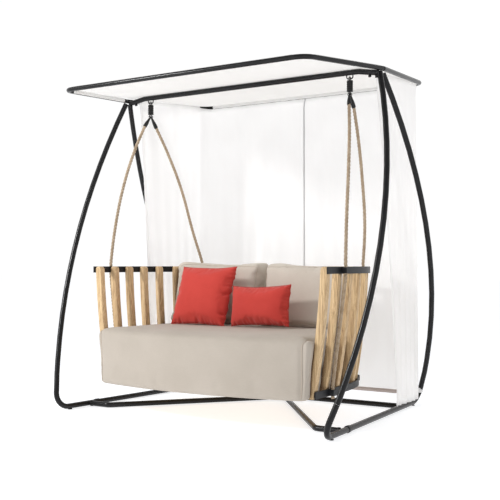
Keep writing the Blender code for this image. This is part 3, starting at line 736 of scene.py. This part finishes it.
def roof():
    """One cloth over the beam, held inside both hoops, with hems round the tubes."""
    inset = HOOP_R + 0.0005
    front, rear = CANOPY_FRONT[1] + inset, CANOPY_REAR[1] - inset
    bend = CANOPY_BEND_R - inset
    rows = []
    count = 72
    for i in range(count + 1):
        y = front + (rear - front) * (0.5 - 0.5 * math.cos(math.pi * i / count))
        x, far = CANOPY_FRONT if y < 0 else CANOPY_REAR
        width = CANOPY_MID_X + (x - CANOPY_MID_X) * y / far - inset
        edge = min(abs(y - front), abs(y - rear))
        if edge < bend:
            width -= bend - math.sqrt(bend * bend - (bend - edge) ** 2)
        depth = abs(y / (front if y < 0 else rear))
        row = []
        for k in range(49):
            u = -1 + 2 * k / 48
            ridge = 0.0105 * max(0.0, 1 - abs(y) / 0.30) ** 1.6
            sag = 0.009 * math.sin(math.pi * depth) * (1 - u ** 4)
            ripple = 0.0012 * noise.noise((u * 2.3, y * 5.0, 1.7)) * math.sin(math.pi * depth)
            row.append((width * u, y + BEAM_Y, canopy_z(y) + 0.0100 + ridge - sag + ripple))
        rows.append(row)
    cloth = sheet("roof_cloth", rows, ROOF_CLOTH, "roof_fabric", 0.0012)
    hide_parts("roof_cloth_front", "roof_cloth_rear")

    runs = []
    for word, (x, y) in (("front", CANOPY_FRONT), ("rear", CANOPY_REAR)):
        runs.append((f"roof_hem_{word}", (-x, y), (x, y), 0.080, 0.080, (0, -1 if y > 0 else 1)))
        for side, hand in SIDES:
            runs.append((f"roof_hem_{word}_{hand}", (side * x, y), (side * CANOPY_MID_X, 0.0), 0.085, 0.05,
                         (-side, 0)))
    for name, a, b, skip_a, skip_b, inward in runs:
        a = Vector((a[0], a[1], canopy_z(a[1])))
        b = Vector((b[0], b[1], canopy_z(b[1])))
        along = (b - a).normalized()
        start, end = a + along * skip_a, b - along * skip_b
        inner = Vector((*inward, 0.0))
        inner = (inner - along * inner.dot(along)).normalized()
        up = inner.cross(along)
        up = up if up.z > 0 else -up
        steps = 40
        rows = []
        for i in range(steps + 1):
            spot = start.lerp(end, i / steps) + Vector((0, BEAM_Y, 0))
            low = HEM_LOW + 3.0 * noise.noise((i * 0.35, a.x, a.y))
            row = []
            for k in range(11):
                phi = math.radians(HEM_HIGH + (low - HEM_HIGH) * k / 10)
                row.append(spot + (inner * math.cos(phi) + up * math.sin(phi)) * (HOOP_R + 0.0012))
            rows.append(row)
        sheet(name, rows, ROOF_CLOTH, "roof_fabric", 0.001)


roof()


# ---------------------------------------------------------------- curtains
def curtain_plan(s):
    """The plan point and outward normal at a length along a curtain from the middle of the back."""
    straight = CURTAIN_X - CURTAIN_CORNER_R
    arc = CURTAIN_CORNER_R * math.pi / 2
    if s < straight:
        return Vector((s, CURTAIN_Y, 0)), Vector((0, 1, 0))
    if s < straight + arc:
        a = math.pi / 2 - (s - straight) / CURTAIN_CORNER_R
        out = Vector((math.cos(a), math.sin(a), 0))
        return Vector((straight, CURTAIN_Y - CURTAIN_CORNER_R, 0)) + out * CURTAIN_CORNER_R, out
    return Vector((CURTAIN_X, CURTAIN_Y - CURTAIN_CORNER_R - (s - straight - arc), 0)), Vector((1, 0, 0))


def curtain(side, word):
    """One curtain: soft vertical folds that deepen downwards, its front edge drawn back at the hem."""
    straight = CURTAIN_X - CURTAIN_CORNER_R
    arc = CURTAIN_CORNER_R * math.pi / 2
    edge_y = CURTAIN_EDGE_Y[word]
    total = straight + arc + CURTAIN_Y - CURTAIN_CORNER_R - edge_y
    start = -CURTAIN_OVERLAP if word == "left" else CURTAIN_OVERLAP * 0.2
    lap = 0.0035 if word == "left" else 0.0
    seed = 3.1 if word == "left" else 8.4
    across, down = 150, 60
    rows = []
    for j in range(down + 1):
        t = j / down
        row = []
        for i in range(across + 1):
            s = start + (total - start) * i / across
            spot, out = curtain_plan(max(s, 0.0))
            spot.x += min(s, 0.0)
            turn = min(1.0, max(0.0, (s - straight) / arc))
            top = canopy_z(spot.y) - 0.014 + 0.016 * turn
            hem = BACK_HEM_Z + (SIDE_HEM_Z - BACK_HEM_Z) * turn
            z = top + (hem - top) * t
            shift = (HEM_EDGE_Y[word] - edge_y) / (CURTAIN_Y - edge_y)
            spot.y = CURTAIN_Y - (CURTAIN_Y - spot.y) * (1 - shift * (1 - (1 - t) ** 1.5))
            wander = noise.noise((s * 3.0, t * 0.9, seed))
            phase = math.tau * s / FOLD_PITCH + 2.2 * wander
            depth = 0.0022 + 0.0035 * t + 0.010 * shift * t * turn
            wave = depth * math.sin(phase) * (0.7 + 0.6 * noise.noise((s * 5.0, t * 1.3, seed + 4)))
            wave += 0.005 * t * noise.noise((s * 1.6, t * 1.5, seed + 9))
            if word == "right":
                fold = (s - straight - arc) - (0.02 + 0.62 * t)
                wave += 0.010 * turn * math.exp(-(fold / 0.045) ** 2) * max(0.0, t - 0.35) * 1.5
            near_top = max(0.0, 1 - t / 0.03)
            reach = 0.020 * (1 - turn) + 0.012 * turn * (CURTAIN_Y - spot.y) / (CURTAIN_Y - edge_y)
            spot += out * (wave + lap * max(0.0, 1 - s / 0.1) + reach * near_top ** 1.5)
            row.append(Vector((side * spot.x, spot.y + BEAM_Y, z)))
        rows.append(row)
    cloth = sheet("curtain_cloth_" + word, rows, CURTAIN, "curtain_fabric", 0.0010)
    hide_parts("curtain_" + word)

    last = rows[-1]
    stop = next(i for i, p in enumerate(last) if abs(p.x) > straight - 0.01)
    # The band over the hem's lower edge is painted shade: it is darker than the curtain cloth above it.
    shade_band_rows = [[p + Vector((0, -0.0014, 0.0005)) for p in last[1:stop]],
                 [p + Vector((0, -0.0014, 0.0270)) for p in last[1:stop]]]
    sheet("curtain_hem_tape_" + word, shade_band_rows, HEM_SHADE_BAND, "curtain_fabric", 0.0008)
    for tag, column, inward in (("middle", 0, 1), ("edge", across, -1)):
        edge_rows = []
        for j in range(down + 1):
            a = rows[j][column]
            b = rows[j][column + inward * (1 if tag == "middle" else 2)]
            normal = (b - a).cross(Vector((0, 0, 1))).normalized()
            edge_rows.append([a + normal * 0.0013, a.lerp(b, 0.5) + normal * 0.0016, b + normal * 0.0013])
        mat = SEAM_WHITE if tag == "middle" else CURTAIN
        sheet(f"curtain_{tag}_hem_{word}", edge_rows, mat, "curtain_fabric", 0.0008)


curtain(-1, "left")
curtain(1, "right")


def clamps():
    """A clamp ring on each floor rail, where the front stretcher reaches it."""
    radius = TUBE_R
    low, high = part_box("front_v_stretcher")
    for side, word in SIDES:
        spot = Vector((side * (high.x + radius + 0.001), low.y + radius, (low.z + high.z) / 2))
        along = Vector((side * RAIL_SPLAY, 1.0, 0.0)).normalized()
        bm = bmesh.new()
        turned(bm, ((radius + 0.0006, -0.016), (radius + 0.0036, -0.0148), (radius + 0.0036, 0.0148),
                    (radius + 0.0006, 0.016)), spot + along * CLAMP_SHIFT, along, 32)
        place("rail_clamp_" + word, bm, STEEL, "frame", "frame_steel", 40)


clamps()


def ties():
    """White tapes that tie each curtain's lower corner to its rear leg."""
    for side, word in SIDES:
        wrap = welded("floor_rail_" + word)
        near = [v.co for v in wrap.verts if abs(v.co.z - TIE_Z) < 0.05 and v.co.y > 0.4]
        centre = sum(near, Vector()) / len(near)
        wrap.free()
        bm = bmesh.new()
        turned(bm, ((0.0180, -0.016), (0.0196, -0.015), (0.0199, 0.0), (0.0196, 0.015), (0.0180, 0.016)),
               (centre.x, centre.y, centre.z), (side * -0.06, -0.10, 1.0), 28)
        start = Vector((centre.x - side * 0.016, centre.y, centre.z))
        end = Vector((side * CURTAIN_X, CURTAIN_Y + BEAM_Y - 0.03, centre.z - 0.012))
        rows = []
        for i in range(13):
            t = i / 12
            spot = start.lerp(end, t) + Vector((0, 0, -0.006 * math.sin(math.pi * t)))
            rows.append([spot + Vector((0, y, z))
                         for y, z in ((0.0006, -0.013), (0.0, 0.0), (0.0006, 0.013))])
        sheet("curtain_tie_" + word, rows, CURTAIN, "curtain_fabric", 0.0012, bm)


ties()


# ---------------------------------------------------------------- cushions
SEAT_BOTTOM, SEAT_TOP = (corner.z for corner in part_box("seat_cushion"))


def ring_at(name, z):
    """A CAD solid's outline at one of its own levels, as an ordered loop seen from above."""
    bm = welded(name)
    links = {}
    for edge in bm.edges:
        a, b = edge.verts
        if abs(a.co.z - z) < 3e-4 and abs(b.co.z - z) < 3e-4:
            links.setdefault(a, []).append(b)
            links.setdefault(b, []).append(a)
    first = max(links, key=lambda v: (round(v.co.x, 4), v.co.y))
    loop = [first, links[first][0]]
    while True:
        ahead = [v for v in links[loop[-1]] if v is not loop[-2]]
        if not ahead or ahead[0] is first:
            break
        loop.append(ahead[0])
    out = [v.co.copy() for v in loop]
    bm.free()
    area = sum(a.x * b.y - b.x * a.y for a, b in zip(out, out[1:] + out[:1]))
    return out if area > 0 else out[::-1]


def inset(ring_points, distance):
    """An outline moved inwards by a distance, with mitred corners."""
    count = len(ring_points)
    out = []
    for i, here in enumerate(ring_points):
        before = (here - ring_points[i - 1]).normalized()
        after = (ring_points[(i + 1) % count] - here).normalized()
        n1 = Vector((before.y, -before.x, 0))
        n2 = Vector((after.y, -after.x, 0))
        mitre = (n1 + n2).normalized()
        out.append(here - mitre * (distance / max(0.45, mitre.dot(n1))))
    return out


def smoothed(mesh, rounds):
    """A mesh with its small creases evened out."""
    bm = bmesh.new()
    bm.from_mesh(mesh)
    for _ in range(rounds):
        bmesh.ops.smooth_vert(bm, verts=bm.verts, factor=0.5,
                              use_axis_x=True, use_axis_y=True, use_axis_z=True)
    bm.to_mesh(mesh)
    bm.free()
    return mesh


def remesh(mesh, voxel, rounds):
    """A closed mesh rebuilt from even quads and rounded a little."""
    obj = linked("remesh", mesh)
    step = obj.modifiers.new("remesh", "REMESH")
    step.mode = "VOXEL"
    step.voxel_size = voxel
    bpy.context.view_layer.update()
    made = bpy.data.meshes.new_from_object(obj.evaluated_get(bpy.context.evaluated_depsgraph_get()))
    bpy.data.objects.remove(obj, do_unlink=True)
    return smoothed(made, rounds)


def blow_up(mesh, cap, pressure, steps, hold=None, bend=0.5):
    """Cloth under pressure: the surface swells, each point by at most the cap."""
    obj = linked("blow_up", mesh)
    rest = [v.co.copy() for v in mesh.vertices]
    cloth = obj.modifiers.new("cloth", "CLOTH")
    settings = cloth.settings
    if hold:
        group = obj.vertex_groups.new(name="held")
        group.add([i for i, p in enumerate(rest) if hold(p)], 1.0, "REPLACE")
        settings.vertex_group_mass = "held"
    settings.quality = 5
    settings.mass = 0.3
    settings.tension_stiffness = CLOTH_STIFFNESS
    settings.compression_stiffness = CLOTH_STIFFNESS
    settings.shear_stiffness = CLOTH_STIFFNESS / 3
    settings.bending_stiffness = bend
    settings.use_pressure = True
    settings.uniform_pressure_force = pressure
    settings.effector_weights.gravity = 0.0
    cloth.collision_settings.use_collision = False
    cloth.point_cache.frame_start = 1
    cloth.point_cache.frame_end = steps
    scene = bpy.context.scene
    for f in range(1, steps + 1):
        scene.frame_set(f)
    result = obj.evaluated_get(bpy.context.evaluated_depsgraph_get()).to_mesh()
    moved = [v.co.copy() for v in result.vertices]
    scene.frame_set(1)
    bpy.data.objects.remove(obj, do_unlink=True)
    for vert, here, there in zip(mesh.vertices, rest, moved):
        step = there - here
        if step.length > cap:
            step *= cap / step.length
        vert.co = here + step
    return mesh


def tree_of(mesh):
    """A search tree over a mesh's surface."""
    return BVHTree.FromPolygons([v.co for v in mesh.vertices], [tuple(p.vertices) for p in mesh.polygons])


def piping(name, path, tree, radius, slot):
    """A sewn-in cord along the nearest line on a cushion's surface."""
    line = []
    for point in even([Vector(p) for p in path], 0.006):
        near, normal, _, _ = tree.find_nearest(point)
        line.append(near + normal * radius * (1 - 2 * PIPING_SINK))
    for _ in range(3):
        line = [line[0]] + [(a + b * 2 + c) / 4 for a, b, c in zip(line, line[1:], line[2:])] + [line[-1]]
    bm = bmesh.new()
    sweep(bm, line, radius, 8)
    place(name, bm, SEAM_BEIGE, "swing", slot)


def groove(mesh, paths, depth, width):
    """Pulls the surface in along sewn lines."""
    points = [p for path in paths for p in even([Vector(q) for q in path], 0.008)]
    for vert in mesh.vertices:
        near = min((vert.co - p).length_squared for p in points)
        if near < (3 * width) ** 2:
            vert.co -= vert.normal * depth * math.exp(-near / width ** 2)


def soft_piece(name, mesh, mat, slot, nodes):
    """A finished cushion, one subdivision finer than its simulated mesh."""
    piece = place(name, mesh, mat, "swing", slot)
    step = piece.modifiers.new("finer", "SUBSURF")
    step.levels = 1
    step.render_levels = 1
    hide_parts(*nodes)


def seat():
    """The deep seat block: a crowned top, a bowed front, and piped corners on its front wings."""
    levels = (0.198, 0.510)
    low_ring, high_ring = (ring_at("seat_cushion", z) for z in levels)

    def outline(z, pull):
        t = (z - levels[0]) / (levels[1] - levels[0])
        both = [a.lerp(b, t) for a, b in zip(low_ring, high_ring)]
        return [Vector((p.x, p.y, z)) for p in inset(both, pull - 0.007)]

    top = SEAT_TOP - 0.006
    rows = []
    for k in range(4):
        a = math.pi / 2 * k / 3
        rows.append(outline(SEAT_BOTTOM + 0.012 * (1 - math.sin(a)) - 0.001, 0.012 * (1 - math.cos(a))))
    rows.reverse()
    for k in range(6):
        a = math.pi / 2 * k / 5
        rows.append(outline(top - SEAT_EDGE_R * (1 - math.sin(a)), SEAT_EDGE_R * (1 - math.cos(a))))
    bm = bmesh.new()
    skin(bm, rows)
    mesh = remesh(mesh_of(bm, "seat"), SEAT_VOXEL, 3)
    mesh = smoothed(blow_up(mesh, SEAT_CAP, 4.0, 18, hold=lambda p: p.z < SEAT_BOTTOM + 0.012), 4)
    tree = tree_of(mesh)
    corners = []
    for side in (-1, 1):
        x = side * SEAT_SEAM_X[side]
        face = min(p.y for p in high_ring) + 0.03
        low_face = face + 0.006
        path = [(x, low_face, SEAT_BOTTOM + 0.010), (x, low_face, SEAT_BOTTOM + 0.05),
                (x, face, SEAT_TOP - 0.05), (x, face + 0.02, SEAT_TOP),
                (x + side * 0.006, face + 0.07, SEAT_TOP + 0.01),
                (x + side * 0.008, face + 0.20, SEAT_TOP + 0.01)]
        corners.append([tree.find_nearest(p)[0] for p in even([Vector(q) for q in path], 0.01)])
    groove(mesh, corners, 0.011, 0.013)
    soft_piece("seat_block", mesh, BEIGE, "seat_fabric", ["seat_cushion"])
    tree = tree_of(mesh)
    for side, path in zip(("left", "right"), corners):
        piping("seat_piping_" + side, path, tree, 0.0032, "seat_fabric")


def back(side, word):
    """A back cushion: boxed, crowned in front, its face edged by a seam."""
    name = "back_cushion_" + word
    low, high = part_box(name)
    base = low.z
    plan = ((0.026, 0.115, 1.0), (0.665, 0.090, 1.0), (0.738, 0.112, 0.9), (0.670, 0.225, 0.9),
            (0.480, 0.300, 1.0), (0.026, 0.330, 1.0), (0.008, 0.290, 1.0), (0.008, 0.145, 1.0))
    height = high.z - base
    rows = []
    edge = BACK_EDGE_R
    zs = [(0.002, edge * 0.5), (0.018, 0.004), (0.05, 0.0), (height * 0.5, 0.0), (height - edge, 0.0),
          (height - edge * 0.4, edge * 0.25), (height - 0.004, edge * 0.7)]
    for z, pull in zs:
        loop = [Vector((side * x, y + BEAM_Y + BACK_LEAN * part * z / height, base + z))
                for x, y, part in plan]
        if side < 0:
            loop = loop[::-1]
        rows.append(inset(loop, pull + 0.012))
    bm = bmesh.new()
    skin(bm, rows)
    mesh = remesh(mesh_of(bm, name), BACK_VOXEL, 4)
    mesh = blow_up(mesh, BACK_CAP, 5.0, 20, hold=lambda p: p.z < base + 0.010)
    ends = BACK_RISE[word]
    for vert in mesh.vertices:
        share = min(1.0, max(0.0, (abs(vert.co.x) - 0.02) / 0.66))
        rise = ends[0] * (1 - share) ** 2 + ends[1] * share ** 2
        vert.co.z += rise * max(0.0, (vert.co.z - base) / height) ** 2
    tree = tree_of(mesh)
    x0, x1 = 0.030, 0.655
    y0 = 0.128
    loop = []
    for x, z in ((x0, 0.03), (x1, 0.03), (x1, height - 0.025), (x0, height - 0.025), (x0, 0.03)):
        loop.append(Vector((side * x, y0 + BEAM_Y + BACK_LEAN * z / height, base + z)))
    near = [tree.find_nearest(p)[0] for p in even(loop, 0.01)]
    groove(mesh, [near], 0.004, 0.010)
    soft_piece(name + "_pad", mesh, PALE_BEIGE, "back_fabric", [name])
    tree = tree_of(mesh)
    piping(name + "_piping", near, tree, 0.0026, "back_fabric")


def pillow(name, size, centre, tilt, turn, roll, shear, seed):
    """A loose cushion sewn from two panels and filled: its sides pull in and pucker along the seam."""
    width, thick, height = size
    flat_w, flat_h = width * 1.035, height * 1.035
    nx, nz = round(flat_w / PILLOW_STEP), round(flat_h / PILLOW_STEP)
    bm = bmesh.new()
    grid = {}
    flat = []
    for face in (-1, 1):
        for i in range(nx + 1):
            for k in range(nz + 1):
                rim = i in (0, nx) or k in (0, nz)
                if rim and (0, i, k) in grid:
                    continue
                u, v = -1 + 2 * i / nx, -1 + 2 * k / nz
                dome = max(0.0, (1 - abs(u) ** 2.8) * (1 - abs(v) ** 2.8)) ** 0.55
                spot = Vector((u * flat_w / 2 * (1 - 0.030 * (1 - v * v)),
                               face * (0 if rim else 0.50 * thick * dome),
                               v * flat_h / 2 * (1 - 0.045 * (1 - u * u))))
                grid[(0 if rim else face, i, k)] = bm.verts.new(spot)
                flat.append((u, v))
    for face in (-1, 1):
        for i in range(nx):
            for k in range(nz):
                loop = []
                for a, b in ((i, k), (i + 1, k), (i + 1, k + 1), (i, k + 1)):
                    rim = a in (0, nx) or b in (0, nz)
                    loop.append(grid[(0 if rim else face, a, b)])
                bm.faces.new(loop if face < 0 else loop[::-1])
    mesh = mesh_of(bm, name)
    mesh = blow_up(mesh, PILLOW_CAP, 5.0, 20, bend=0.05)
    normals = [v.normal.copy() for v in mesh.vertices]
    for vert, normal, (u, v) in zip(mesh.vertices, normals, flat):
        push = 0.0
        for gap, along, share in ((1 - abs(u), v * flat_h / 2, 1.35 if u > 0 else 0.5),
                                  (1 - abs(v), u * flat_w / 2, 0.8 if v < 0 else 0.35)):
            away = gap * (flat_w if along == v * flat_h / 2 else flat_h) / 2
            reach = 0.020 + 0.022 * (0.5 + noise.noise((along * 30.0, seed, 0.5)))
            crease = noise.noise((along * 52.0, seed * 1.7, away * 6.0))
            fade = math.exp(-(away / reach) ** 2) * min(1.0, away / 0.008)
            push += share * PUCKER * (crease - 0.4 * abs(crease)) * fade
        push += 0.0022 * noise.noise((u * 2.1 + seed, v * 2.1, 0.3))
        vert.co += normal * push
    where = Matrix.Translation((centre[0], centre[1] + BEAM_Y, centre[2]))
    skew = Matrix(((1, 0, shear, 0), (0, 1, 0, 0), (0, 0, 1, 0), (0, 0, 0, 1)))
    facing = Euler([math.radians(a) for a in (tilt, roll, turn)]).to_matrix().to_4x4()
    mesh.transform(where @ facing @ skew)
    soft_piece(name + "_pillow", mesh, RED, "red_fabric", [name])
    rim = [i for i, (u, v) in enumerate(flat) if max(abs(u), abs(v)) > 0.9999]
    middle = sum((mesh.vertices[i].co for i in rim), Vector()) / len(rim)
    rim.sort(key=lambda i: math.atan2(flat[i][1], flat[i][0]))
    cord = even([mesh.vertices[i].co.lerp(middle, 0.002) for i in rim] + [mesh.vertices[rim[0]].co], 0.006)
    bm = bmesh.new()
    sweep(bm, cord, 0.0019, 6)
    place(name + "_seam", bm, SEAM_RED, "swing", "red_fabric")


seat()
back(-1, "left")
back(1, "right")
pillow("red_square_cushion", (0.450, 0.130, 0.414), (-0.324, 0.005, 0.741), -16, 0, 0, 0.06, 5)
pillow("red_long_cushion", (0.468, 0.120, 0.270), (0.151, -0.030, 0.686), -8, -3, -2, 0.01, 6)


# ---------------------------------------------------------------- floor and light
def floor():
    """A plain white studio floor."""
    mat, shader, coords = start_material("studio_white", 0.9, Specular_IOR_Level=0.0)
    cloud = stretched_noise(mat, coords, (0.4, 0.4, 0.4), 2)
    colour = ramp(mat, cloud, ((0.3, (0.50, 0.515, 0.54)), (0.7, (0.52, 0.535, 0.56))))
    feed(mat, shader, "Base Color", colour)
    shader.inputs["Emission Color"].default_value = (0.99, 0.993, 1.0, 1.0)
    shader.inputs["Emission Strength"].default_value = FLOOR_GLOW
    bm = bmesh.new()
    bmesh.ops.create_circle(bm, cap_ends=True, segments=96, radius=FLOOR_R)
    mesh = bpy.data.meshes.new("floor")
    bm.to_mesh(mesh)
    bm.free()
    mesh.materials.append(mat)
    obj = linked("floor", mesh)


def area_light(name, spot, size, power):
    """A soft round light aimed at the bench."""
    data = bpy.data.lights.new(name, "AREA")
    data.shape = "DISK"
    data.size = size
    data.energy = power
    obj = linked(name, data)
    obj.location = spot
    obj.rotation_euler = (Vector((0, 0, 1.0)) - Vector(spot)).to_track_quat("-Z", "Y").to_euler()


def light():
    """A sky that is white at eye level and dimmer overhead, a key from the front left, and a weak fill."""
    world = bpy.data.worlds.new("studio")
    bpy.context.scene.world = world
    world.use_nodes = True
    coords = node(world, "ShaderNodeTexCoord").outputs["Generated"]
    height = node(world, "ShaderNodeSeparateXYZ", {"Vector": coords}).outputs["Z"]
    sky = ramp(world, height, ((0.28, (1.0, 1.0, 1.0)), (0.75, (OVERHEAD, OVERHEAD, OVERHEAD))))
    toward = node(world, "ShaderNodeVectorMath", {0: coords, 1: (0.60, -0.80, 0.0)}, operation="DOT_PRODUCT")
    dim = (NEAR_SIDE, NEAR_SIDE, NEAR_SIDE)
    shade = ramp(world, toward.outputs["Value"], ((0.10, (1.0, 1.0, 1.0)), (0.85, dim)))
    sky = mix(world, 1.0, sky, shade)
    background = world.node_tree.nodes["Background"]
    feed(world, background, "Color", sky)
    background.inputs["Strength"].default_value = SKY_POWER
    area_light("key", (-3.4, -4.4, 3.6), 0.9, KEY_POWER)
    area_light("fill", (5.0, -3.6, 2.8), 3.0, FILL_POWER)
    bpy.context.scene.view_settings.view_transform = "Standard"


floor()
light()
